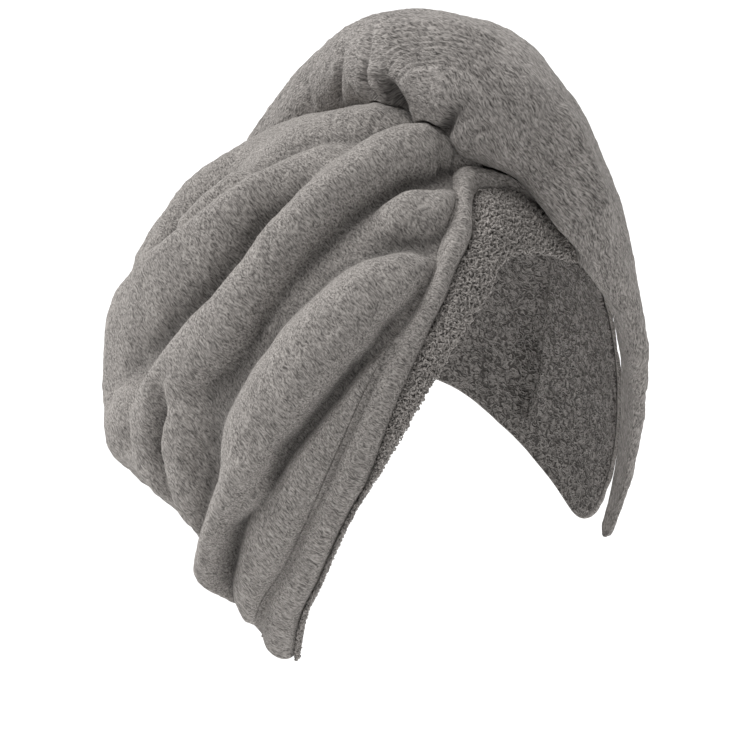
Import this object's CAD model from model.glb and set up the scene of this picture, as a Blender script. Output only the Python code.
# A plush hair turban towel in its worn form, open for a head, in metres, +Z up, its face opening towards -Y.
#
# The cloth is laid out by direction from the head's centre: a longitude (0 at the face, minus to the wearer's
# right, 180 at the back) and a latitude, in degrees, with a lift over the skin in millimetres.
import math
from collections import namedtuple

import bmesh
import bpy
import mathutils
import numpy as np
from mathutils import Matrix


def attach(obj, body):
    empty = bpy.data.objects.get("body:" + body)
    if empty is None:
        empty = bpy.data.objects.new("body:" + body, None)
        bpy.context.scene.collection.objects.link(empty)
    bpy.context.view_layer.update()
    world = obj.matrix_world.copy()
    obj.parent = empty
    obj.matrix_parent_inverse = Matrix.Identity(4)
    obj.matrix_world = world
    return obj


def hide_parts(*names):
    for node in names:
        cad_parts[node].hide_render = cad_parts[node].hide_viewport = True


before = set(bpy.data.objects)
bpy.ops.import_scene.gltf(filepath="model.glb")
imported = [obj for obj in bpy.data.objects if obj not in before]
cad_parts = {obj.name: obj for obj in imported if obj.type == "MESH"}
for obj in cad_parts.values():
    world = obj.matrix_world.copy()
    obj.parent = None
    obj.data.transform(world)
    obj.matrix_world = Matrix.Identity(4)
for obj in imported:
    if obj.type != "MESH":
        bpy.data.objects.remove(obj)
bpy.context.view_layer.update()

MM = 0.001
HEAD = np.array([75.0, 95.0, 106.0])  # half the head's width, depth and height
MEAN_RADIUS = HEAD.mean()
LOOSENESS = 1.0
CLOTH = 4.5  # thickness of velour and lining together, on top of a fold
PRESSED = 1.6  # how much thinner it is in a hollow
LOWEST = 0.7  # height of the cloth over the looseness where no fold lifts it


# Lines on the head
def direction(lon, lat):
    lon, lat = np.radians(lon), np.radians(lat)
    return np.stack([np.cos(lat) * np.sin(lon), -np.cos(lat) * np.cos(lon), np.sin(lat)], -1)


def unit(v):
    return v / np.linalg.norm(v, axis=-1, keepdims=True)


def on_head(dirs, lift):
    reach = HEAD + np.asarray(lift, float)[..., None]
    return dirs / np.linalg.norm(dirs / reach, axis=-1, keepdims=True)


def skin_normal(points):
    return unit(points / (HEAD + 10.0) ** 2)


def smooth_line(rows, shares, closed=False):
    """Points of a smooth line through rows, at shares from 0 to 1 of it."""
    rows = np.asarray(rows, float)
    spans = len(rows) if closed else len(rows) - 1
    place = np.clip(shares, 0, 1) * spans
    i = np.minimum(place.astype(int), spans - 1)
    t = (place - i)[:, None]

    def row(k):
        return rows[k % len(rows)] if closed else rows[np.clip(k, 0, len(rows) - 1)]

    a, b, c, d = row(i - 1), row(i), row(i + 1), row(i + 2)
    return b + 0.5 * t * (c - a + t * (2 * a - 5 * b + 4 * c - d + t * (3 * (b - c) + d - a)))


def even_line(points, steps):
    """The same line at equal steps along it."""
    along = np.concatenate([[0], np.cumsum(np.linalg.norm(np.diff(points, axis=0), axis=1))])
    want = np.linspace(0, along[-1], steps + 1)
    return np.stack([np.interp(want, along, points[:, k]) for k in range(points.shape[1])], 1)


def line_of(rows, steps, closed=False):
    """Directions along a smooth line through rows of longitude and latitude."""
    dirs = direction(*np.array(rows, float).T)
    return unit(smooth_line(dirs, np.linspace(0, 1, steps + 1), closed))


def towards(start, end, share):
    """The way from one direction to another on the sphere; past the end where share is over 1."""
    angle = np.arccos(np.clip((start * end).sum(-1, keepdims=True), -1, 1))
    return (np.sin((1 - share) * angle) * start + np.sin(share * angle) * end) / np.sin(angle)


def smoothstep(low, high, x):
    t = np.clip((x - low) / (high - low), 0, 1)
    return t * t * (3 - 2 * t)


# Noise, the same on every run
RANDOM = np.random.default_rng(7)
LATTICE = unit(RANDOM.normal(size=(4096, 3)))
ORDER = RANDOM.permutation(4096)


def noise(points, size):
    """Smooth noise from about -1 to 1, with features of a size in the points' own unit."""
    p = points / size
    cell = np.floor(p).astype(np.int64)
    f = p - cell
    w = f * f * f * (f * (f * 6 - 15) + 10)
    total = np.zeros(len(p))
    for corner in range(8):
        step = np.array([corner & 1, corner >> 1 & 1, corner >> 2 & 1])
        c = cell + step
        slot = ORDER[(c[:, 0] + ORDER[(c[:, 1] + ORDER[c[:, 2] % 4096]) % 4096]) % 4096]
        weight = np.where(step, w, 1 - w).prod(1)
        total += weight * (LATTICE[slot] * (f - step)).sum(1)
    return 1.6 * total


def pile_relief(points, strength=1.0):
    """The unevenness of the pile, in millimetres."""
    big = 0.6 * noise(points, 24.0) + 0.42 * noise(points + 31.0, 10.0)
    small = 0.22 * noise(points + 7.0, 4.2) + 0.26 * noise(points - 11.0, 2.3)
    return strength * (big + small)


# Folds and creases along lines on a surface
# A fold has its rise, its reach to the left and to the right of the line as it runs, seen from outside, and
# a shape for each side. A crease has its height, minus where it is pressed in, and one reach. Rises, heights
# and reaches are in millimetres, at even steps along the line.
Fold = namedtuple("Fold", "rise left right left_shape right_shape line")
Crease = namedtuple("Crease", "height reach line")
# how a fold falls off to one side: power and edge of (1 - x**power)**edge
CLIFF, STEEP, ROUND, SOFT, FALL = (2.6, 0.52), (2.0, 0.65), (2.0, 1.1), (2.0, 2.0), (1.1, 0.8)
UNION = 5  # how sharply folds that meet are kept apart


def spread(values, along):
    """Values given at even steps of a line, at any share of it."""
    return np.interp(along, np.linspace(0, 1, len(values)), values)


def follow(points, normals, line, reach):
    """The points near a line: which, how far off, whether on its left as it runs, and how far along it."""
    near = np.flatnonzero(((points > line.min(0) - reach) & (points < line.max(0) + reach)).all(1))
    p, n = points[near], normals[near]
    away = np.full(len(near), np.inf)
    left = np.zeros(len(near), bool)
    along = np.zeros(len(near))
    for i, step in enumerate(np.diff(line, axis=0)):
        start = p - line[i]
        t = np.clip(start @ step / (step @ step), 0, 1)
        off = start - t[:, None] * step
        far = np.linalg.norm(off, axis=1)
        nearer = far < away
        away = np.where(nearer, far, away)
        left = np.where(nearer, (off * np.cross(n, step)).sum(1) > 0, left)
        along = np.where(nearer, (i + t) / (len(line) - 1), along)
    return near, away, left, along


def folded(points, normals, folds, creases, lowest, place):
    """Heights of rounded folds that press against each other, with creases and small wrinkles along lines."""
    bulk = np.full(len(points), float(lowest) ** UNION)
    for fold in folds:
        near, away, on_left, along = follow(points, normals, place(fold.line), max(*fold.left, *fold.right))
        reach = np.where(on_left, spread(fold.left, along), spread(fold.right, along))
        power = np.where(on_left, fold.left_shape[0], fold.right_shape[0])
        edge = np.where(on_left, fold.left_shape[1], fold.right_shape[1])
        x = np.minimum(away / reach, 1)
        bulk[near] += (spread(fold.rise, along) * (1 - x**power) ** edge) ** UNION
    height = bulk ** (1 / UNION)
    for crease in creases:
        near, away, _, along = follow(points, normals, place(crease.line), 3 * crease.reach)
        height[near] += spread(crease.height, along) * np.exp(-((away / crease.reach) ** 1.4))
    return height


# The hood's folds and creases, along lines of longitude and latitude
FOLDS = [
    # from the knot over the ear to the bag low at the back
    Fold(rise=(6, 10.5, 11, 11, 10.5, 10, 9.5, 9.5, 9.5, 7), left=(5, 12, 12, 10.5, 13, 17, 15, 11, 10),
         right=(9, 12, 13, 10, 7, 6, 6, 8, 12), left_shape=STEEP, right_shape=ROUND,
         line=[(4, 70), (-4, 74), (-17, 75), (-38, 74), (-58, 69), (-70, 62), (-79, 56), (-84, 50),
               (-90, 42), (-96, 36), (-102, 28), (-107, 19), (-109, 11), (-107, 4), (-103, -2)]),
    # sharp terrace above it, and the smaller one behind
    Fold(rise=(0, 7, 10.5, 12, 12, 10, 7.5, 6.5), left=(12, 15, 8, 15, 20, 22, 18, 16),
         right=(12, 14, 14, 13, 14, 16), left_shape=FALL, right_shape=SOFT,
         line=[(-40, 80), (-66, 76), (-79, 72), (-91, 66), (-101, 59), (-107, 52), (-114, 45), (-121, 40),
               (-128, 30), (-129, 21), (-127, 12), (-121, 5), (-112, 1)]),
    Fold(rise=(0, 5, 7.8, 8.4, 7.5, 3, 0), left=(5, 6, 6.5, 6), right=(12, 13, 14), left_shape=FALL,
         right_shape=SOFT,
         line=[(-88, 71), (-102, 65), (-110, 62), (-115, 56), (-119, 50), (-121, 45), (-126, 38)]),
    Fold(rise=(0, 4, 5.6, 6, 6, 5.5, 4, 2), left=(9, 10, 10), right=(16, 18, 18), left_shape=FALL,
         right_shape=SOFT,
         line=[(-122, 77), (-133, 67), (-137, 60), (-136, 51), (-132, 42), (-132, 33), (-133, 24),
               (-136, 12), (-138, 0)]),
    # panel between the two creases at the front
    Fold(rise=(2.6, 4.6, 6, 4.6, 0), left=(9, 10, 8), right=(9.5, 9.8, 8.5), left_shape=ROUND,
         right_shape=CLIFF, line=[(-12, 62), (-22, 62), (-31, 62), (-39, 61), (-45, 60)]),
    # broad fold from the hem down to the narrow one behind the ear
    Fold(rise=(3, 7.2, 10, 11, 11, 10.5, 10.5, 10.5, 10.5, 9.5, 8),
         left=(7, 9.5, 12.5, 14.5, 14, 14.5, 12.5, 9, 5.5, 6, 6.5),
         right=(7, 10, 14, 14, 14, 15, 16, 12, 9, 8, 8), left_shape=CLIFF, right_shape=ROUND,
         line=[(-28, 52), (-35, 52), (-41, 50), (-49, 47), (-54, 43), (-59, 39), (-65, 33), (-69, 28),
               (-72, 21), (-74, 14), (-75, 8), (-77, 3), (-81, -4), (-85, -12), (-88, -21), (-89, -31)]),
    # panel beside the hem, and the crown beside the tail
    Fold(rise=(1, 3, 4.2, 5, 5.5, 5.5, 5), left=(9, 10, 11, 11), right=(2, 4, 7, 7.5, 9, 12.5, 10.5, 8.5),
         left_shape=SOFT, right_shape=CLIFF,
         line=[(-36, 44), (-39, 40), (-46, 31), (-54, 22), (-61, 8), (-69, -8), (-76, -22), (-78, -28)]),
    Fold(rise=(3, 6, 6.5, 6, 5, 3, 0), left=(20, 20), right=(20, 20), left_shape=SOFT, right_shape=SOFT,
         line=[(33, 79), (19, 85), (-90, 84), (-110, 76), (-113, 68), (-112, 61), (-113, 53)]),
    # panel in front of the bag
    Fold(rise=(1.5, 6, 7.5, 7.5, 6), left=(16, 18, 14), right=(6, 6.5, 6.5), left_shape=SOFT,
         right_shape=CLIFF, line=[(-95, 27), (-97, 21), (-97, 13), (-96, 6), (-94, 0), (-92, -5)]),
    Fold(rise=(3, 8, 9, 8), left=(15, 16), right=(18, 18), left_shape=ROUND, right_shape=SOFT,
         line=[(-113, 20), (-117, 11), (-120, 3), (-123, -7)]),
    Fold(rise=(1, 3.6, 4), left=(16, 16), right=(22, 22), left_shape=SOFT, right_shape=SOFT,
         line=[(-140, 26), (-144, 12), (-147, -6)]),
    # at the back
    Fold(rise=(0, 2.6, 4, 3.6, 2), left=(13, 14, 15), right=(11, 12, 12), left_shape=SOFT,
         right_shape=STEEP, line=[(-146, 58), (-152, 45), (-156, 30), (-158, 15), (-160, 0)]),
    Fold(rise=(0, 2.4, 3.6, 3.2, 1.5), left=(11, 12), right=(10, 11), left_shape=SOFT, right_shape=STEEP,
         line=[(-157, 52), (-165, 40), (-169, 26), (-171, 12), (-173, 0)]),
    # under the tail and down the left of the head
    Fold(rise=(0, 12, 16.4, 16.4, 11, 0), left=(23, 23), right=(19, 19), left_shape=SOFT, right_shape=SOFT,
         line=[(30, 68), (40, 61), (46, 53), (49, 45), (50, 37), (50, 28)]),
    Fold(rise=(0, 9, 11, 11, 11, 10, 3), left=(19, 19), right=(12, 12), left_shape=SOFT, right_shape=STEEP,
         line=[(46, 64), (60, 54), (72, 42), (81, 28), (87, 12), (89, -4), (89, -20)]),
    Fold(rise=(0, 7, 8.6, 8.4, 7, 2), left=(15, 15), right=(11, 11), left_shape=SOFT, right_shape=STEEP,
         line=[(66, 72), (84, 62), (98, 48), (107, 33), (112, 16), (113, 0)]),
    Fold(rise=(0, 4.5, 7, 7, 3), left=(15, 15), right=(11, 11), left_shape=SOFT, right_shape=STEEP,
         line=[(122, 62), (130, 46), (134, 30), (136, 12), (136, -4)]),
]
CREASES = [
    # the sharp one from the knot, the long one beside the front panel, and the one beside the bag
    Crease(height=(-6, -6.5, -6, -4, -2, 0), reach=2.2,
           line=[(2, 68), (-8, 67), (-15, 68), (-21, 68), (-32, 68), (-43, 66), (-51, 64), (-56, 62),
                 (-61, 59), (-64, 57), (-67, 54)]),
    Crease(height=(-1, -3.5, -4, -4, -4, -3.5, -3.5, -3), reach=2.3,
           line=[(-29, 48), (-35, 45), (-38, 42), (-42, 40), (-45, 37), (-50, 34), (-54, 29), (-58, 25),
                 (-61, 21), (-65, 17), (-67, 12), (-69, 9), (-72, 6), (-74, 2), (-77, -3), (-79, -8),
                 (-81, -14), (-83, -21), (-84, -30)]),
    Crease(height=(0, -4, -4.5, -4, -3.5, -3), reach=2.1,
           line=[(-99, 27), (-102, 22), (-101.5, 17), (-102, 12), (-102, 7), (-101, 2), (-99, -3)]),
    # wide hollows
    Crease(height=(0, -1.5, -2, -2, -1.5, 0), reach=5,
           line=[(-80, 65), (-84, 61), (-87, 57), (-88, 51), (-92, 46), (-96, 42), (-101, 35), (-104, 30),
                 (-109, 23), (-113, 15)]),
    Crease(height=(-1.5, -1.5, -1.2, -0.8, 0), reach=5,
           line=[(-29, 55), (-36, 56), (-44, 57), (-52, 55), (-58, 51), (-64, 47), (-69, 42), (-76, 36),
                 (-84, 30), (-92, 25)]),
    # small ridges and wrinkles
    Crease(height=(0, 1, 1, 0), reach=1.5, line=[(-64, 22), (-67, 18), (-69, 13), (-72, 9), (-74, 5)]),
    Crease(height=(0, 0.9, 1.1, 1, 0), reach=1.3,
           line=[(-78, 3), (-81, -1), (-83, -7), (-85, -14), (-87, -22)]),
    Crease(height=(0, -0.9, -1, -0.8), reach=1.2,
           line=[(-79, 1), (-82, -5), (-84, -12), (-86, -20), (-87, -28)]),
    Crease(height=(0, 0.9, 0.9, 0), reach=1.3, line=[(-104, 22), (-105, 17), (-105, 11), (-104, 5)]),
    Crease(height=(0, -0.9, -0.9, 0), reach=1.2, line=[(-106, 21), (-107, 16), (-107, 10), (-105, 5)]),
    Crease(height=(0, -1.3, -1.3, 0), reach=1.8, line=[(-87, 12), (-90, 9), (-90, 5), (-87, 3)]),
    Crease(height=(0, -0.9, 0), reach=1.4, line=[(-83, 8), (-80, 5), (-76, 3)]),
    # at the back and down the left of the head
    Crease(height=(0, -4, -4), reach=4.4, line=[(-164, 44), (-160, 26), (-161, 10), (-166, -8)]),
    Crease(height=(0, -5, -5, -5), reach=4.5,
           line=[(52, 50), (62, 40), (70, 28), (75, 14), (78, 0), (80, -14), (81, -28)]),
    Crease(height=(0, -4.5, -4.5, -4.5), reach=4.5,
           line=[(76, 60), (88, 50), (95, 38), (99, 24), (101, 8), (101, -12)]),
    Crease(height=(0, -4, -4, -4), reach=4, line=[(112, 52), (120, 38), (124, 22), (125, 6), (125, -8)]),
]

MID_CLOTH = 5.0  # the lift at which lines and noise are laid out
PULL = unit(on_head(direction(-105, 0), MID_CLOTH) - on_head(direction(-5, 72), MID_CLOTH))  # along wrinkles
LOW_RIM_FLATTER, LOW_RIM_REACH = 0.75, 15.0  # how much flatter the folds are at the lower rim, and how far in
HEM_FLATTER, HEM_REACH = 0.5, 12.0  # the same beside the hem
CORNER_BLEND = 60  # points of the rim's line, before and after the corner, from one to the other
LOW_RIM_END = (3300, 3100)  # points of the rim's line where it rises to the left of the face
WRINKLE, WRINKLE_SIZE = 0.6, 8.0


def hood_heights(dirs):
    """How high the folds lift the cloth over the looseness in each direction, in millimetres."""
    points = on_head(dirs, np.full(len(dirs), MID_CLOTH))
    wander = np.stack([noise(points + k * 57.0, 26.0) for k in range(3)], 1)
    height = folded(points + 1.3 * wander, skin_normal(points), FOLDS, CREASES, LOWEST,
                    lambda rows: on_head(line_of(rows, 36), np.full(37, MID_CLOTH)))
    along = points @ PULL
    height += WRINKLE * noise(points - 0.75 * along[:, None] * PULL, WRINKLE_SIZE)
    within, place = rim_of(dirs)
    past_corner = smoothstep(corner_at - CORNER_BLEND, corner_at + CORNER_BLEND, place)
    low_rim, by_hem = past_corner * smoothstep(*LOW_RIM_END, place), 1 - past_corner
    height *= (1 - LOW_RIM_FLATTER * low_rim * (1 - smoothstep(-1, LOW_RIM_REACH, within))
               - HEM_FLATTER * by_hem * (1 - smoothstep(-1, HEM_REACH, within)))
    return np.where(height > 1.0, height, 0.3 + 0.7 * np.exp((height - 1.0) / 0.7))


def cloth_top(heights):
    """The lift of the cloth's outer face: it is full on a fold and pressed flat in a hollow."""
    return LOOSENESS + CLOTH - PRESSED + PRESSED * smoothstep(0, 7, heights) + heights


# Meshes from grids of points, in millimetres
def make_object(name, points, faces, material, hollow=None):
    mesh = bpy.data.meshes.new(name)
    mesh.from_pydata(np.asarray(points, float) * MM, [], [tuple(face) for face in faces])
    if hollow is not None:
        mesh.attributes.new("hollow", "FLOAT", "POINT").data.foreach_set("value", hollow)
    shape = bmesh.new()
    shape.from_mesh(mesh)
    if shape.calc_volume(signed=True) < 0:
        mesh.flip_normals()
    shape.free()
    mesh.polygons.foreach_set("use_smooth", np.ones(len(mesh.polygons), bool))
    mesh.materials.append(material)
    obj = bpy.data.objects.new(name, mesh)
    bpy.context.scene.collection.objects.link(obj)
    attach(obj, "root")
    return obj


def band_faces(first, second):
    """Quads once round between two rings of the same number of points, given as indices."""
    return np.stack([first, second, np.roll(second, -1), np.roll(first, -1)], 1).tolist()


# The rim of the hood, once round
RIM = [
    # down the right of the face
    (2, 68), (-15, 60), (-24, 54), (-28, 49), (-34, 43), (-39, 38), (-45, 30), (-51, 18), (-59, -1),
    (-65, -14), (-72, -25), (-76, -37),
    # along the bottom
    (-80, -33), (-84, -30), (-88, -25), (-92, -17), (-99, -11), (-110, -9), (-126, -6), (-142, -4),
    (-160, -8), (-180, -12), (-202, -10), (-224, -8), (-246, -12), (-264, -20), (-282, -27), (-298, -31),
    # up the left of the face
    (-306, -26), (-309, -12), (-310, 6), (-313, 24), (-320, 40), (-336, 54),
]
CORNER = 11  # the row of the rim where the hem ends
FACE_EDGE = [(23, 44), (14, 47), (4, 50), (-7, 50), (-15, 45), (-24, 39), (-30, 33), (-37, 24), (-43, 14),
             (-50, 2), (-57, -15), (-62, -26), (-67, -41)]
POLE = direction(112, 76)
RIM_THICKNESS = 2.4  # of the velour where its rim is turned
HOOD_COLUMNS = 400
HOOD_ROWS = 180
COARSE = 4  # rows of the fine face to one of the face that isn't seen

PER_ROW = 100  # points of the rim's line to a row of RIM
rim_line = line_of(RIM, PER_ROW * len(RIM), closed=True)[:-1]
corner_at = PER_ROW * CORNER
hood_edge = unit(even_line(np.append(rim_line, rim_line[:1], axis=0), HOOD_COLUMNS)[:-1])
lining_rows = FACE_EDGE + [(-72, -39), (-76, -36)] + RIM[CORNER + 1 : -1]
lining_edge = unit(even_line(line_of(lining_rows, len(rim_line), closed=True), HOOD_COLUMNS)[:-1])


def bearing(dirs):
    across = unit(np.cross(POLE, [0.0, 0.0, 1.0]))
    return np.arctan2(dirs @ np.cross(POLE, across), dirs @ across)


def rim_of(dirs):
    """How far inside the hood's rim each direction is, in millimetres, and the rim's point that it faces."""
    around = bearing(rim_line)
    order = np.argsort(around)
    limit = np.interp(bearing(dirs), around[order], np.arccos(rim_line[order] @ POLE), period=2 * math.pi)
    within = (limit - np.arccos(np.clip(dirs @ POLE, -1, 1))) * MEAN_RADIUS
    return within, order[np.searchsorted(around[order], bearing(dirs)) % len(order)]


def nearby(heights, merge, rows, columns):
    """The least or the mean of the heights within some rows and columns of the sheet."""
    grid = heights[1:].reshape(-1, HOOD_COLUMNS)
    tall = np.pad(grid, ((rows, rows), (0, 0)), mode="edge")
    grid = merge([tall[k : k + len(grid)] for k in range(2 * rows + 1)], axis=0)
    grid = merge([np.roll(grid, k, axis=1) for k in range(-columns, columns + 1)], axis=0)
    return np.append(merge(grid[0]), grid)


def eased(heights, rows, columns):
    """Heights without narrow ridges, nowhere higher than they were."""
    return nearby(nearby(heights, np.min, rows, columns), np.mean, rows // 2, columns // 2)


def shell(name, edge, inset, outer_lift, inner_lift, fine_outside, material):
    """A closed sheet from the pole to an inset from an edge, in millimetres, with a rounded rim.

    The lifts of its two faces are made from the height of the folds."""
    rows, n = HOOD_ROWS, HOOD_COLUMNS
    shorter = 1 - inset / (MEAN_RADIUS * np.arccos(edge @ POLE))[:, None]
    shares = np.linspace(1 / rows, 1, rows)
    grid = np.stack([towards(POLE[None, :], edge, share * shorter) for share in shares])
    dirs = np.concatenate([POLE[None, :], grid.reshape(-1, 3)])
    within, _ = rim_of(dirs)
    heights = hood_heights(dirs)
    if fine_outside:
        below = eased(heights, COARSE, 1)
    else:
        heights = below = eased(heights * smoothstep(-6, 1, within), 10, 3)
    high, low = outer_lift(heights), inner_lift(below)
    low += smoothstep(7, 2, within) * np.maximum(0, high - RIM_THICKNESS - low) * fine_outside
    outside, inside = on_head(dirs, high), on_head(dirs, low)
    if fine_outside:
        outside += skin_normal(outside) * pile_relief(outside)[:, None]
    else:
        inside -= skin_normal(inside) * 0.8 * pile_relief(inside)[:, None]

    def rings(face, fine):
        """The rows of one face as blocks of points, all of them or each COARSE-th up to the rim."""
        keep = range(rows) if fine else range(rows - 1 - COARSE * ((rows - 1) // COARSE), rows, COARSE)
        return [face[1 + k * n : 1 + (k + 1) * n] for k in keep]

    out_rings, in_rings = rings(outside, fine_outside), rings(inside, not fine_outside)
    last_out, last_in = out_rings[-1], in_rings[-1]
    middle, half = (last_out + last_in) / 2, np.linalg.norm(last_out - last_in, axis=1, keepdims=True) / 2
    up = unit(last_out - last_in)
    ahead = last_out - outside[-3 * n : -2 * n]
    ahead = unit(ahead - (ahead * up).sum(1, keepdims=True) * up)
    angles = np.linspace(0, math.pi, 9)[1:-1]
    turn = [middle + half * (math.cos(a) * up + math.sin(a) * ahead) for a in angles]
    blocks = [*out_rings, *turn, *in_rings[::-1]]
    points = np.concatenate([outside[:1], *blocks, inside[:1]])
    faces = []
    for k in range(len(blocks) - 1):
        faces += band_faces(1 + k * n + np.arange(n), 1 + (k + 1) * n + np.arange(n))
    last = len(points) - 1
    first_ring, last_ring = 1 + np.arange(n), last - n + np.arange(n)
    faces += [(0, int(a), int(b)) for a, b in zip(first_ring, np.roll(first_ring, -1))]
    faces += [(last, int(b), int(a)) for a, b in zip(last_ring, np.roll(last_ring, -1))]
    hollow = np.zeros(len(points))
    if fine_outside:
        around = nearby(heights, np.mean, HOOD_ROWS // 14, HOOD_COLUMNS // 50)
        hollow[: len(heights)] = smoothstep(0.2, 3.8, around - heights)
    return make_object(name, points, faces, material, hollow)


# The strip between the hood's rim and the face: hem and facing lie side by side on the lining
STRIP_ROWS = 400
BEFORE_RIM = 100  # points of the rim's line that the strip reaches on under the tail
UNDERSIDE = LOOSENESS + 1.5
strip_start = unit(even_line(np.concatenate([rim_line[-BEFORE_RIM:], rim_line[: corner_at + 1]]), STRIP_ROWS))
strip_end = unit(even_line(line_of(FACE_EDGE, 1200), STRIP_ROWS))
at_row = np.linspace(0, 1, STRIP_ROWS + 1)
HEM_SHARES = [  # how far along the strip, and the hem's part of its width there
    (0, 0.04), (0.07, 0.05), (0.1, 0.2), (0.2, 0.36), (0.34, 0.38), (0.5, 0.68), (0.58, 0.88), (1, 0.88),
]
hem_share = np.interp(at_row, *np.array(HEM_SHARES).T)
fringe_size = np.interp(hem_share, [0.4, 0.8], [1.0, 0.5])  # loops are shorter where they are only a fringe
strip_sides = [on_head(side, np.full(STRIP_ROWS + 1, UNDERSIDE)) for side in (strip_start, strip_end)]
strip_width = np.linalg.norm(strip_sides[0] - strip_sides[1], axis=1)
strip_steps = np.linalg.norm(np.diff(strip_start, axis=0), axis=1) * (MEAN_RADIUS + 8)
strip_along = np.concatenate([[0], np.cumsum(strip_steps)])


def strip_body(name, start, end, over, across, rise, ribs, material):
    """A closed strip between two shares of the way from rim to face, with its number of faces across.

    It lies over the hood's rim by some millimetres. Returns it and the points of its upper face."""
    gap, more = 0.15 / strip_width, over / strip_width
    u = 0.5 - 0.5 * np.cos(np.linspace(0, math.pi, across + 1))
    share = (start + gap - more)[:, None] + (end - start - 2 * gap + more)[:, None] * u
    dirs = towards(strip_start[:, None], strip_end[:, None], share[..., None])
    off_rim = share * strip_width[:, None]
    rim_top = cloth_top(hood_heights(dirs.reshape(-1, 3)))
    rim_top += pile_relief(on_head(dirs.reshape(-1, 3), rim_top)) + 0.35
    on_rim = smoothstep(1.8, 0.6, off_rim) * (over > 0)
    floor = UNDERSIDE + (rim_top.reshape(share.shape) - UNDERSIDE) * on_rim
    ends = (smoothstep(-0.0001, 0.015, at_row) * smoothstep(-0.0001, 0.015, 1 - at_row))[:, None]
    lift = UNDERSIDE + rise(u)[None, :] * (0.2 + 0.8 * ends)
    points = on_head(dirs, np.maximum(lift, floor + 0.3))
    rib_place = np.stack([np.broadcast_to(strip_along[:, None], share.shape), 0.12 * off_rim,
                          np.zeros(share.shape)], -1).reshape(-1, 3)
    flat = points.reshape(-1, 3)
    swell = pile_relief(flat, 0.8) + ribs * (noise(rib_place, 2.2) + 0.6 * noise(rib_place + 9.0, 1.2))
    flat = flat + skin_normal(flat) * (swell * np.tile(np.sin(math.pi * u), STRIP_ROWS + 1))[:, None]
    upper = flat.reshape(points.shape)
    lower = on_head(dirs[:, ::-2], floor[:, ::-2] - 0.15)
    ring = across + 1 + lower.shape[1]
    faces = []
    for i in range(STRIP_ROWS):
        faces += band_faces(i * ring + np.arange(ring), (i + 1) * ring + np.arange(ring))
    last = STRIP_ROWS * ring
    faces += [list(range(ring))[::-1], [last + k for k in range(ring)]]
    return make_object(name, np.concatenate([upper, lower], 1).reshape(-1, 3), faces, material), upper


CURL_COUNT = 4200
CURL_STEPS, CURL_SIDES = 5, 4


def terry_curls(name, base, count, material):
    """Small curled loops of terry, standing on the upper face of a strip and over its edges."""
    a, b, c, d = base[:-1, :-1], base[1:, :-1], base[1:, 1:], base[:-1, 1:]
    normal = np.cross(c - a, d - b).reshape(-1, 3)
    normal *= np.sign((normal * a.reshape(-1, 3)).sum(1, keepdims=True))
    size = np.linalg.norm(normal, axis=1)
    total = np.cumsum(size)
    pick = np.searchsorted(total, (np.arange(count) + RANDOM.random(count)) / count * total[-1])
    pick = np.minimum(pick, len(total) - 1)
    corners = np.stack([k.reshape(-1, 3)[pick] for k in (a, b, c, d)])
    s, t = RANDOM.random((2, count, 1))
    seat = (corners[0] * (1 - s) + corners[1] * s) * (1 - t) + (corners[3] * (1 - s) + corners[2] * s) * t
    out = unit(normal[pick])
    aside = unit(np.cross(out, RANDOM.normal(size=(count, 3))))
    third = np.cross(out, aside)
    lean = np.radians(RANDOM.uniform(-62, 62, (count, 1)))
    rise_way = out * np.cos(lean) + third * np.sin(lean)
    radius = RANDOM.uniform(0.5, 1.0, (count, 1))
    tall = RANDOM.uniform(1.0, 2.0, (count, 1))
    twist = RANDOM.uniform(-0.9, 0.9, (count, 1))
    thick = RANDOM.uniform(0.22, 0.36, (count, 1))
    small = fringe_size[pick // (base.shape[1] - 1)][:, None]
    radius, tall, thick = radius * small, tall * small, thick * (0.5 + 0.5 * small)
    turns = np.linspace(0.0, math.pi * 1.05, CURL_STEPS + 1)
    path = np.stack([seat - 0.35 * out - aside * radius * math.cos(f) + rise_way * tall * math.sin(f)
                     + third * twist * (f / math.pi - 0.5) for f in turns], 1)
    ahead = unit(np.gradient(path, axis=1))
    first = unit(np.cross(ahead, third[:, None] + 0.01))
    second = np.cross(ahead, first)
    ring = np.linspace(0, 2 * math.pi, CURL_SIDES, endpoint=False)
    points = (path[:, :, None] + thick[:, :, None, None]
              * (first[:, :, None] * np.cos(ring)[:, None] + second[:, :, None] * np.sin(ring)[:, None]))
    one = []
    for k in range(CURL_STEPS):
        circle = k * CURL_SIDES + np.arange(CURL_SIDES)
        one += band_faces(circle, circle + CURL_SIDES)
    per = (CURL_STEPS + 1) * CURL_SIDES
    caps = [list(range(CURL_SIDES))[::-1], [per - CURL_SIDES + k for k in range(CURL_SIDES)]]
    quads = (np.array(one)[None] + per * np.arange(count)[:, None, None]).reshape(-1, 4).tolist()
    ends = (np.array(caps)[None] + per * np.arange(count)[:, None, None]).reshape(-1, CURL_SIDES).tolist()
    return make_object(name, points.reshape(-1, 3), quads + ends, material)


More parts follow.
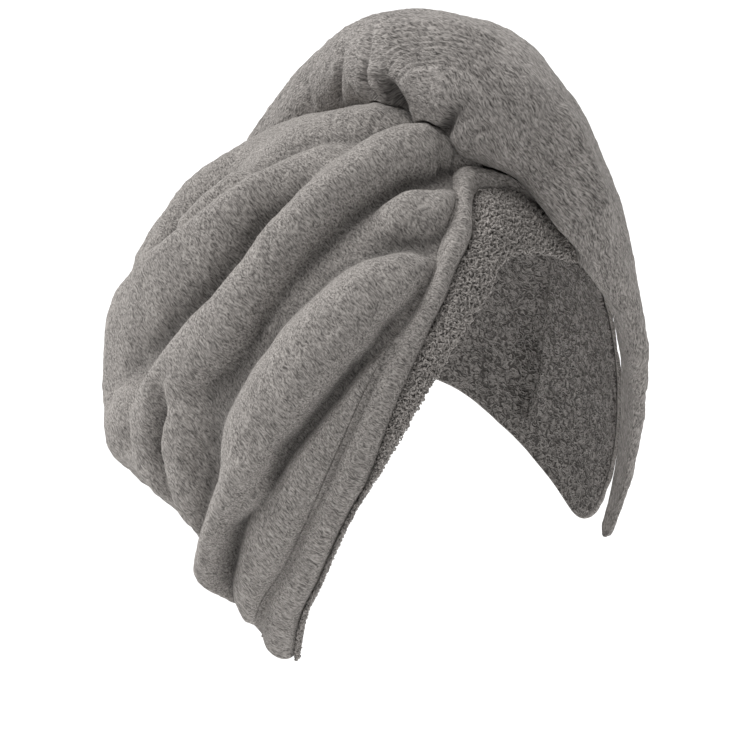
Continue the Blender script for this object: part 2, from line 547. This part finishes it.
# The tail: its middle line and section, from the left of the chin over the crown to the nape
TAIL_WIDTH, TAIL_DEPTH = 52.0, 44.0
TAIL = [
    # longitude, latitude, lift in TAIL_DEPTH, width in TAIL_WIDTH, depth in TAIL_DEPTH
    (46, -28, 0.08, 0.16, 0.1), (46, -16, 0.09, 0.22, 0.13), (45, -2, 0.1, 0.28, 0.15),
    (42, 12, 0.12, 0.42, 0.17), (38, 25, 0.16, 0.62, 0.22), (34, 38, 0.22, 0.73, 0.34),
    (29, 50, 0.32, 0.82, 0.55), (25, 62, 0.43, 0.94, 0.84), (34, 74, 0.52, 1.0, 1.0),
    (75, 80, 0.48, 0.98, 0.94), (120, 74, 0.44, 0.92, 0.84), (140, 61, 0.4, 0.84, 0.74),
    (150, 47, 0.36, 0.76, 0.62), (159, 33, 0.31, 0.66, 0.48), (169, 18, 0.26, 0.58, 0.32),
    (179, 4, 0.24, 0.56, 0.18), (180, -6, 0.22, 0.5, 0.16),
]
TAIL_SECTIONS = 450
TAIL_SIDES = 220
BUTTON_ALONG = 0.955
SHANK_ROOM = 3.9  # half the side of the square hole for the button's shank

tail_rows = np.array([
    [*on_head(direction(lon, lat), lift * TAIL_DEPTH), width * TAIL_WIDTH, depth * TAIL_DEPTH]
    for lon, lat, lift, width, depth in TAIL
])


def tail_section(shares):
    """Middle, width, depth, and the ways ahead, aside and up of sections of the tail."""
    shares = np.atleast_1d(shares)
    line = smooth_line(tail_rows, shares)
    before, after = np.maximum(0, shares - 0.01), np.minimum(1, shares + 0.01)
    way = unit((smooth_line(tail_rows, after) - smooth_line(tail_rows, before))[:, :3])
    side = unit(np.cross(way, unit(line[:, :3] / HEAD**2)))
    return line[:, :3], line[:, 3], line[:, 4], way, side, np.cross(side, way)


def tail_surface(shares, angles):
    """Points and outward normals of the tail's plain surface, by share along it and angle round it."""
    middle, width, depth, _, side, up = tail_section(shares)
    close = 0.2 + 0.8 * smoothstep(-0.001, 0.014, shares) * smoothstep(-0.001, 0.014, 1 - shares)
    width, depth = (width * close)[:, None], (depth * close)[:, None]
    cos, sin = np.cos(angles), np.sin(angles)
    bite = 0.4 * np.exp(-(((shares - 0.43) / 0.03) ** 2))[:, None]  # where it is drawn in beside the knot
    across = np.sign(cos) * np.abs(cos) ** 0.85 * width / 2 * (1 - bite * (cos < 0))
    high = np.sign(sin) * np.abs(sin) ** 0.85 * depth / 2 * (1 - bite * (sin < 0))
    points = middle[:, None] + side[:, None] * across[..., None] + up[:, None] * high[..., None]
    normal = unit(side[:, None] * (across / width**2)[..., None] + up[:, None] * (high / depth**2)[..., None])
    return points, normal


# Lines on the tail are of (share along it, degrees round it: 0 to its right, 90 on top, 180 to its left)
TAIL_FOLDS = [
    Fold(rise=(0, 2, 2.4, 2, 0), left=(9, 10, 9), right=(9, 10, 9), left_shape=SOFT, right_shape=SOFT,
         line=[(0.448, 112), (0.422, 122), (0.392, 138), (0.357, 160)]),
    Fold(rise=(0, 1.8, 0), left=(5, 5), right=(5, 5), left_shape=SOFT, right_shape=SOFT,
         line=[(0.556, 194), (0.556, 182)]),
]
TAIL_CREASES = [
    # the hollow over the hood and the notch beside the knot
    Crease(height=(-8, -8.5, -7, -3), reach=4.6,
           line=[(0.534, 226), (0.537, 212), (0.541, 201), (0.545, 192)]),
    Crease(height=(-6, -5.5, -3.5, -1.5, 0), reach=2.4,
           line=[(0.486, 214), (0.485, 203), (0.485, 190), (0.482, 176), (0.477, 162)]),
    Crease(height=(0, -1.4, -1.4, 0), reach=1.5,
           line=[(0.477, 200), (0.477, 188), (0.475, 178), (0.468, 168)]),
    Crease(height=(0, -1.2, -1.2, 0), reach=1.3,
           line=[(0.47, 204), (0.469, 194), (0.467, 182), (0.461, 172)]),
    # cross creases behind it
    Crease(height=(0, -2.0, -2.4, -2.2), reach=2.6,
           line=[(0.617, 168), (0.617, 186), (0.628, 206), (0.648, 226)]),
    Crease(height=(0, -1.8, -2.4, -2.4, -2), reach=2.6,
           line=[(0.58, 148), (0.57, 172), (0.568, 190), (0.568, 208), (0.562, 216)]),
    Crease(height=(0, -1.6, -1.6, 0), reach=2.6, line=[(0.7, 175), (0.69, 192), (0.688, 208), (0.7, 226)]),
    Crease(height=(0, -1.2, -1.2, 0), reach=3.0, line=[(0.44, 95), (0.41, 106), (0.38, 120), (0.35, 136)]),
]
# compression ribs that bend round the hollow
RIBS = np.array([
    [(0.532, 192), (0.525, 177), (0.514, 166), (0.501, 155), (0.486, 150), (0.472, 148), (0.456, 150)],
    [(0.549, 186), (0.541, 168), (0.526, 154), (0.511, 141), (0.496, 131), (0.481, 126), (0.464, 126)],
    [(0.57, 176), (0.56, 154), (0.543, 138), (0.524, 124), (0.508, 113), (0.492, 104), (0.475, 100)],
])
for place in np.linspace(0, 1.9, 9):
    first = RIBS[int(place)]
    between = first + (place % 1) * (RIBS[int(place) + 1] - first)
    TAIL_CREASES.append(Crease(height=(0, -1.4, -1.6, -1.5, -1.1, 0), reach=0.72, line=between))


def tail_place(rows):
    shares, angles = smooth_line(rows, np.linspace(0, 1, 25)).T
    return np.stack([tail_surface(np.array([s]), np.radians([[a]]))[0][0, 0] for s, a in zip(shares, angles)])


def lift_of(points):
    """The lift over the skin of points given in millimetres."""
    dirs = unit(points)
    far = np.linalg.norm(points, axis=1)
    lift = np.zeros(len(points))
    for _ in range(4):
        here = np.linalg.norm(on_head(dirs, lift), axis=1)
        more = np.linalg.norm(on_head(dirs, lift + 1.0), axis=1)
        lift += (far - here) / (more - here)
    return lift


STRIP_TOP, LINING_TOP = 10.0, LOOSENESS + 2.3  # lifts that the tail keeps over the strip, and beside its end
STRIP_END_X = (23.0, 28.0)


def lying_on(points, height, room):
    """Points that would sink into the hood, the strip or the head are set on it instead."""
    dirs = unit(points)
    within, _ = rim_of(dirs)
    hood_top = cloth_top(height) + 0.9
    strip_top = STRIP_TOP + (LINING_TOP - STRIP_TOP) * smoothstep(*STRIP_END_X, points[:, 0])
    ground = strip_top + (hood_top - strip_top) * smoothstep(-3.5, -0.5, within) + room
    return on_head(dirs, np.maximum(lift_of(points), ground))


def tail_body(name, material):
    # closer sections where the ribs are
    shares = np.interp(np.linspace(0, 1, TAIL_SECTIONS + 1), [0, 0.28, 0.66, 1], [0, 0.44, 0.64, 1])
    angles = np.linspace(-math.pi / 2, 1.5 * math.pi, TAIL_SIDES, endpoint=False)
    points, normals = tail_surface(shares, angles)
    _, _, depth, *_ = tail_section(shares)
    fullness = np.clip(depth / TAIL_DEPTH / 0.6, 0, 1)[:, None]
    strands = (angles / (2 * math.pi) - 1.1 * shares[:, None]) * 3
    groove = 0.9 * fullness * (0.5 + 0.5 * np.cos(2 * math.pi * strands)) ** 6
    flat, out = points.reshape(-1, 3), normals.reshape(-1, 3)
    wander = np.stack([noise(flat + k * 41.0, 22.0) for k in range(3)], 1)
    pressed = folded(flat + 0.7 * wander, out, TAIL_FOLDS, TAIL_CREASES, 0.0, tail_place)
    height = pressed - groove.reshape(-1)
    flat = flat + out * (height + pile_relief(flat, 1.0))[:, None]
    dirs = unit(flat)
    top = np.clip(np.sin(angles) + 0.25, 0, 1)
    flat = lying_on(flat, hood_heights(dirs), np.tile(1.3 * top, TAIL_SECTIONS + 1))
    points = flat.reshape(points.shape)

    n = TAIL_SIDES
    seat = tail_section(BUTTON_ALONG)
    off = points - seat[0][0]
    along, aside = off @ seat[3][0], off @ seat[4][0]
    inside_hole = (np.abs(along) < SHANK_ROOM) & (np.abs(aside) < SHANK_ROOM) & (np.sin(angles) > 0.2)
    cells = {(i, j) for i in range(TAIL_SECTIONS) for j in np.flatnonzero(inside_hole[i])
             if inside_hole[i : i + 2, j : j + 2].all()}
    under = {(i, (n // 2 - j - 1) % n) for i, j in cells}
    faces = []
    for i in range(TAIL_SECTIONS):
        band = band_faces(i * n + np.arange(n), (i + 1) * n + np.arange(n))
        faces += [face for j, face in enumerate(band) if (i, j) not in cells and (i, j) not in under]
    for i, j in cells:
        corners = [(i, j), (i + 1, j), (i + 1, j + 1), (i, j + 1)]
        beyond = [(i, j - 1), (i + 1, j), (i, j + 1), (i - 1, j)]
        for k in range(4):
            if beyond[k] not in cells:
                (i1, j1), (i2, j2) = corners[k], corners[(k + 1) % 4]
                below1, below2 = i1 * n + (n // 2 - j1) % n, i2 * n + (n // 2 - j2) % n
                faces.append([i1 * n + j1, i2 * n + j2, below2, below1])
    last = TAIL_SECTIONS * n
    faces += [list(range(n))[::-1], [last + k for k in range(n)]]
    obj = make_object(name, points.reshape(-1, 3), faces, material, smoothstep(0, 4, -pressed))
    # a map in metres, so that the nap runs along the tail
    down = np.linalg.norm(np.diff(points[:, n // 2], axis=0), axis=1)
    u = np.concatenate([[0], np.cumsum(down)])
    girth = np.linalg.norm(np.diff(np.concatenate([points, points[:, :1]], 1), axis=1), axis=2)
    v = np.concatenate([np.zeros((TAIL_SECTIONS + 1, 1)), np.cumsum(girth, axis=1)], 1)
    v -= v[:, n // 2 : n // 2 + 1]
    layer = obj.data.uv_layers.new(name="lay")
    spots = np.zeros(len(obj.data.loops), int)
    obj.data.loops.foreach_get("vertex_index", spots)
    starts = np.zeros(len(obj.data.polygons), int)
    sizes = np.zeros(len(obj.data.polygons), int)
    obj.data.polygons.foreach_get("loop_start", starts)
    obj.data.polygons.foreach_get("loop_total", sizes)
    row, column = spots // n, spots % n
    widest = np.repeat(np.maximum.reduceat(column, starts), sizes)
    column = np.where((column == 0) & (widest > n * 3 // 4), n, column)
    place = np.stack([u[row], v[row, column]], 1) * MM
    layer.data.foreach_set("uv", place.reshape(-1))
    return obj


def nape_button(name, material):
    """A shanked button with a raised rim round a shallow dish, turned up from a disc."""
    middle, _, depth, way, side, up = (part[0] for part in tail_section(BUTTON_ALONG))
    radius, thickness, rim = 13.0 * MM, 4.0 * MM, 1.2 * MM
    hub, shank = 5.2 * MM, 3.0 * MM
    foot_room = 1.6  # millimetres by which the shank is shorter than the way from the tail's top to the hood
    bpy.ops.object.select_all(action="DESELECT")
    on_top = (0, 0, thickness / 2)
    bpy.ops.mesh.primitive_cylinder_add(vertices=96, radius=radius, depth=thickness, location=on_top)
    button = bpy.context.active_object
    button.name = button.data.name = name
    bpy.ops.object.transform_apply(location=True, rotation=True, scale=True)

    def choose(test):
        bpy.ops.object.mode_set(mode="OBJECT")
        for part in (button.data.vertices, button.data.edges, button.data.polygons):
            part.foreach_set("select", np.zeros(len(part), bool))
        for face in button.data.polygons:
            face.select = test(face)
        bpy.ops.object.mode_set(mode="EDIT")

    bpy.ops.object.mode_set(mode="EDIT")
    bpy.ops.mesh.select_mode(type="FACE")
    choose(lambda face: face.normal.z > 0.9)
    bpy.ops.mesh.inset(thickness=2.6 * rim)
    bpy.ops.mesh.inset(thickness=0.5 * rim)
    bpy.ops.transform.translate(value=(0, 0, -rim))
    bpy.ops.mesh.inset(thickness=3.4 * rim)
    bpy.ops.transform.translate(value=(0, 0, 0.25 * rim))
    choose(lambda face: face.normal.z < -0.9)
    bpy.ops.mesh.inset(thickness=radius - hub)
    bpy.ops.mesh.inset(thickness=hub - shank)
    reach = (lift_of((middle + up * depth / 2)[None, :]) - cloth_top(hood_heights(unit(middle)[None, :])))[0]
    bpy.ops.mesh.extrude_region_move(TRANSFORM_OT_translate={"value": (0, 0, -(reach - foot_room) * MM)})
    bpy.ops.object.mode_set(mode="OBJECT")
    bevel = button.modifiers.new("round", "BEVEL")
    bevel.width = 0.55 * MM
    bevel.segments = 4
    bevel.limit_method = "ANGLE"
    bevel.angle_limit = math.radians(30)
    bpy.ops.object.modifier_apply(modifier=bevel.name)
    bpy.ops.object.shade_smooth()
    seat = middle + up * (depth / 2 + 0.9)
    rows = [[*row, place * MM] for row, place in zip(np.stack([side, way, up], 1), seat)]
    turn = mathutils.Matrix(rows + [[0, 0, 0, 1]])
    button.data.transform(turn)
    button.data.materials.append(material)
    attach(button, "root")
    return button


# Finishes
CLOTH_INPUTS = [("Place", "Vector"), ("Tip", "Color"), ("Gap", "Color"), ("Mottle", "Float")]
CLOTH_OUTPUTS = [("Color", "Color"), ("Height", "Float")]


def new_group(name, inputs, outputs):
    group = bpy.data.node_groups.new(name, "ShaderNodeTree")
    for words, kind in inputs:
        group.interface.new_socket(words, in_out="INPUT", socket_type="NodeSocket" + kind)
    for words, kind in outputs:
        group.interface.new_socket(words, in_out="OUTPUT", socket_type="NodeSocket" + kind)
    return group


def add_node(tree, kind, links=(), **values):
    """A shader node with its values set by property or socket name and its inputs linked."""
    made = tree.nodes.new("ShaderNode" + kind)
    for key, value in values.items():
        if hasattr(made, key):
            setattr(made, key, value)
        else:
            made.inputs[key.replace("_", " ")].default_value = value
    for socket, source in links:
        tree.links.new(source, made.inputs[socket])
    return made


def math_node(tree, operation, *terms):
    made = tree.nodes.new("ShaderNodeMath")
    made.operation = operation
    for k, term in enumerate(terms):
        if isinstance(term, (int, float)):
            made.inputs[k].default_value = term
        else:
            tree.links.new(term, made.inputs[k])
    return made.outputs[0]


def scaled(tree, color, amount):
    return add_node(tree, "VectorMath", [(0, color), ("Scale", amount)], operation="SCALE").outputs[0]


def colour_by_height(group, given, put, height, share, mottle):
    """The end of a cloth's group: from gap colour to tip colour by its height, with mottling over it."""
    color = add_node(group, "Mix", data_type="RGBA")
    group.links.new(share.outputs[0], color.inputs["Factor"])
    group.links.new(given.outputs["Gap"], color.inputs["A"])
    group.links.new(given.outputs["Tip"], color.inputs["B"])
    centred = math_node(group, "SUBTRACT", mottle.outputs["Fac"], 0.5)
    amount = math_node(group, "MULTIPLY_ADD", centred, given.outputs["Mottle"], 1.0)
    shade = scaled(group, color.outputs["Result"], amount)
    group.links.new(shade, put.inputs["Color"])
    group.links.new(height, put.inputs["Height"])


def pile_group():
    """Short velour pile: fine strokes along the nap with dark gaps, in clumps, and broad soft mottling."""
    group = new_group("velour_pile", CLOTH_INPUTS, CLOTH_OUTPUTS)
    given = group.nodes.new("NodeGroupInput")
    put = group.nodes.new("NodeGroupOutput")
    bend = add_node(group, "TexNoise", [("Vector", given.outputs["Place"])], Scale=260.0, Detail=1.0)
    shift = add_node(group, "VectorMath", [(0, bend.outputs["Color"])], operation="MULTIPLY_ADD")
    shift.inputs[1].default_value = (0.0016, 0.0016, 0.0016)
    group.links.new(given.outputs["Place"], shift.inputs[2])
    combed = add_node(group, "Mapping", [("Vector", shift.outputs[0])])
    combed.inputs["Scale"].default_value = (1, 1, 0.3)
    strokes = add_node(group, "TexNoise", [("Vector", combed.outputs[0])], Scale=2000.0, Detail=2.0,
                       Roughness=0.6)
    clumps = add_node(group, "TexNoise", [("Vector", combed.outputs[0])], Scale=800.0, Detail=1.0)
    mottle = add_node(group, "TexNoise", [("Vector", given.outputs["Place"])], Scale=70.0, Detail=3.0)
    clumped = math_node(group, "MULTIPLY", clumps.outputs["Fac"], 0.16)
    height = math_node(group, "MULTIPLY_ADD", strokes.outputs["Fac"], 0.84, clumped)
    share = add_node(group, "MapRange", [("Value", height)], From_Min=0.34, From_Max=0.66)
    colour_by_height(group, given, put, height, share, mottle)
    return group


def terry_group():
    """Curled terry: winding strands with dark gaps, one to two millimetres apart."""
    group = new_group("terry_curls", CLOTH_INPUTS, CLOTH_OUTPUTS)
    given = group.nodes.new("NodeGroupInput")
    put = group.nodes.new("NodeGroupOutput")
    wind = add_node(group, "TexNoise", [("Vector", given.outputs["Place"])], Scale=500.0, Detail=1.0,
                    Distortion=1.1)
    lumps = add_node(group, "TexNoise", [("Vector", given.outputs["Place"])], Scale=1200.0, Detail=2.0)
    mottle = add_node(group, "TexNoise", [("Vector", given.outputs["Place"])], Scale=90.0, Detail=2.0)
    away = math_node(group, "ABSOLUTE", math_node(group, "SUBTRACT", wind.outputs["Fac"], 0.5))
    strand = math_node(group, "SUBTRACT", 1.0, math_node(group, "MULTIPLY", away, 6.0))
    height = math_node(group, "MULTIPLY_ADD", math_node(group, "MAXIMUM", strand, 0.0), 0.6,
                       math_node(group, "MULTIPLY", lumps.outputs["Fac"], 0.4))
    share = add_node(group, "MapRange", [("Value", height)], From_Min=0.2, From_Max=0.7)
    colour_by_height(group, given, put, height, share, mottle)
    return group


HOLLOW_SHADE = 0.5  # how much darker the pile is deep in a crease, where it closes


def cloth_finish(name, group, nap, tip, gap, mottle, relief, sheen, uv=False):
    """A cloth from a node group, its nap along a direction of the object, or of its map where uv is set."""
    material = bpy.data.materials.new(name)
    material.use_nodes = True
    tree = material.node_tree
    shader = tree.nodes["Principled BSDF"]
    if uv:
        source = add_node(tree, "UVMap", uv_map="lay").outputs[0]
    else:
        source = add_node(tree, "TexCoord").outputs["Object"]
    turned = add_node(tree, "Mapping", [("Vector", source)])
    turned.inputs["Rotation"].default_value = mathutils.Vector(nap).rotation_difference((0, 0, 1)).to_euler()
    pile = tree.nodes.new("ShaderNodeGroup")
    pile.node_tree = group
    tree.links.new(turned.outputs[0], pile.inputs["Place"])
    pile.inputs["Tip"].default_value = (*tip, 1)
    pile.inputs["Gap"].default_value = (*gap, 1)
    pile.inputs["Mottle"].default_value = mottle
    bump = add_node(tree, "Bump", [("Height", pile.outputs["Height"])], Strength=1.0, Distance=relief)
    hollow = add_node(tree, "Attribute", attribute_name="hollow")
    open_share = math_node(tree, "MULTIPLY_ADD", hollow.outputs["Fac"], -HOLLOW_SHADE, 1.0)
    tree.links.new(scaled(tree, pile.outputs["Color"], open_share), shader.inputs["Base Color"])
    tree.links.new(bump.outputs[0], shader.inputs["Normal"])
    shader.inputs["Roughness"].default_value = 0.95
    shader.inputs["Specular IOR Level"].default_value = 0.08
    shader.inputs["Sheen Weight"].default_value = sheen
    shader.inputs["Sheen Roughness"].default_value = 0.5
    shader.inputs["Sheen Tint"].default_value = (0.9, 0.86, 0.82, 1)
    return material


def button_finish(name):
    """Smooth moulded plastic, faintly clouded, with fine wear in its gloss."""
    material = bpy.data.materials.new(name)
    material.use_nodes = True
    tree = material.node_tree
    shader = tree.nodes["Principled BSDF"]
    place = add_node(tree, "TexCoord").outputs["Object"]
    cloud = add_node(tree, "TexNoise", [("Vector", place)], Scale=140.0, Detail=3.0, Distortion=0.8)
    wear = add_node(tree, "TexNoise", [("Vector", place)], Scale=900.0, Detail=2.0)
    color = add_node(tree, "Mix", [("Factor", cloud.outputs["Fac"])], data_type="RGBA")
    color.inputs["A"].default_value = (0.105, 0.096, 0.09, 1)
    color.inputs["B"].default_value = (0.165, 0.152, 0.142, 1)
    gloss = add_node(tree, "MapRange", [("Value", wear.outputs["Fac"])], From_Min=0.3, From_Max=0.7,
                     To_Min=0.28, To_Max=0.46)
    bump = add_node(tree, "Bump", [("Height", wear.outputs["Fac"])], Strength=1.0, Distance=0.00004)
    tree.links.new(color.outputs["Result"], shader.inputs["Base Color"])
    tree.links.new(gloss.outputs[0], shader.inputs["Roughness"])
    tree.links.new(bump.outputs[0], shader.inputs["Normal"])
    return material


PILE, CURLS = pile_group(), terry_group()
TIP, GAP = (0.432, 0.404, 0.38), (0.092, 0.085, 0.08)
TAIL_TIP, TAIL_GAP = (0.395, 0.369, 0.349), (0.07, 0.065, 0.061)
TERRY_TIP, TERRY_GAP = (0.3, 0.28, 0.265), (0.07, 0.064, 0.06)
LOOP_TIP, LOOP_GAP = (0.49, 0.457, 0.432), (0.14, 0.13, 0.122)
HOOD_NAP, HEM_NAP, MAP_NAP, UPRIGHT = (0.25, -0.66, -0.71), (0.6, -0.6, -0.5), (1.0, 0.0, 0.0), (0, 0, 1)
HOOD_VELOUR = cloth_finish("hood_velour", PILE, HOOD_NAP, TIP, GAP, 0.35, 0.0006, 0.2)
HEM_VELOUR = cloth_finish("hem_velour", PILE, HEM_NAP, TIP, GAP, 0.35, 0.0007, 0.2)
TAIL_VELOUR = cloth_finish("tail_velour", PILE, MAP_NAP, TAIL_TIP, TAIL_GAP, 0.35, 0.0006, 0.2, uv=True)
LINING_TERRY = cloth_finish("lining_terry", CURLS, UPRIGHT, TERRY_TIP, TERRY_GAP, 0.4, 0.001, 0.15)
CURL_TERRY = cloth_finish("curl_terry", PILE, UPRIGHT, LOOP_TIP, LOOP_GAP, 0.5, 0.0003, 0.2)
BUTTON_PLASTIC = button_finish("button_plastic")

# The pieces
HOOD_INSET, LINING_INSET = 1.4, 2.5  # from the rim and from the lining's edge, in millimetres
VELOUR_INSIDE, LINING_OUTSIDE = 1.5, 1.2  # lifts over the looseness, under the folds
HEM_OVERLAP, HEM_FACES, HEM_RIBS = 2.6, 28, 0.4
FACING_FACES, FACING_RIBS = 24, 0.2


def hem_rise(u):
    return 6.2 * np.sin(math.pi * u) ** 0.4


def facing_rise(u):
    return 3.4 * np.sin(math.pi * (0.1 + 0.88 * u)) ** 0.6


hood_cloth = shell("hood_cloth", hood_edge, HOOD_INSET, cloth_top,
                   lambda h: LOOSENESS + VELOUR_INSIDE + h, True, HOOD_VELOUR)
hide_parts("hood")
hood_lining = shell("hood_lining", lining_edge, LINING_INSET, lambda h: LOOSENESS + LINING_OUTSIDE + h,
                    lambda h: LOOSENESS + h, False, LINING_TERRY)
hem_roll, _ = strip_body("hem_roll", 0 * at_row, hem_share, HEM_OVERLAP, HEM_FACES, hem_rise, HEM_RIBS,
                         HEM_VELOUR)
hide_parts("front_hem")
facing_strip, facing_top = strip_body("facing_strip", hem_share, 1 + 0 * at_row, 0, FACING_FACES, facing_rise,
                                      FACING_RIBS, LINING_TERRY)
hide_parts("front_facing")
facing_curls = terry_curls("facing_curls", facing_top, CURL_COUNT, CURL_TERRY)
tail_roll = tail_body("tail_roll", TAIL_VELOUR)
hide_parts("twisted_tail")
button = nape_button("nape_disc", BUTTON_PLASTIC)
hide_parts("nape_button")

# Floor, light and camera
bpy.ops.object.select_all(action="DESELECT")
bpy.ops.mesh.primitive_plane_add(size=12, location=(0, 0, -0.3))
floor = bpy.context.active_object
floor.name = "floor"
paper = bpy.data.materials.new("pale_paper")
paper.use_nodes = True
paper.node_tree.nodes["Principled BSDF"].inputs["Base Color"].default_value = (0.9, 0.9, 0.9, 1)
paper.node_tree.nodes["Principled BSDF"].inputs["Roughness"].default_value = 0.9
floor.data.materials.append(paper)

PIXELS_PER_MM, FRAME_PIXELS = 2.9, 750
AIM_HEIGHT = 0.01724  # of the view's middle over the head's centre, along the view's height
azimuth, elevation, distance = math.radians(-45), math.radians(22), 1.3
right = np.array([math.cos(azimuth), math.sin(azimuth), 0])
level = np.array([math.sin(azimuth), -math.cos(azimuth), 0])
back = level * math.cos(elevation) + np.array([0, 0, math.sin(elevation)])
above = np.cross(back, right)
lens = bpy.data.cameras.new("camera")
lens.sensor_width = 36
lens.lens = 36 * PIXELS_PER_MM * distance / MM / FRAME_PIXELS
camera = bpy.data.objects.new("camera", lens)
turn = [[*row, 0] for row in np.stack([right, above, back], 1)]
camera.matrix_world = mathutils.Matrix(turn + [[0, 0, 0, 1]])
camera.location = above * AIM_HEIGHT + back * distance
bpy.context.scene.collection.objects.link(camera)
bpy.context.scene.camera = camera


def lamp(name, kind, across, up, near, energy, **values):
    """A light towards the object from a place given from the camera: right, up and near, in metres."""
    data = bpy.data.lights.new(name, kind)
    data.energy = energy
    for key, value in values.items():
        setattr(data, key, value)
    made = bpy.data.objects.new(name, data)
    made.location = right * across + above * up + back * near
    made.rotation_euler = (-made.location).to_track_quat("-Z", "Y").to_euler()
    bpy.context.scene.collection.objects.link(made)


lamp("key", "SUN", -0.5, 0.82, 0.13, 3.6, angle=math.radians(42))
lamp("edge", "SUN", 0.93, 0.15, -0.25, 1.2, angle=math.radians(50))
world = bpy.data.worlds.new("studio")
world.use_nodes = True
sky = world.node_tree.nodes["Background"]
sky.inputs["Color"].default_value = (1, 1, 1, 1)
path = world.node_tree.nodes.new("ShaderNodeLightPath")
strength = world.node_tree.nodes.new("ShaderNodeMapRange")
strength.inputs["To Min"].default_value = 0.43
strength.inputs["To Max"].default_value = 1.0
world.node_tree.links.new(path.outputs["Is Camera Ray"], strength.inputs["Value"])
world.node_tree.links.new(strength.outputs[0], sky.inputs["Strength"])
bpy.context.scene.world = world
bpy.context.scene.view_settings.view_transform = "Standard"
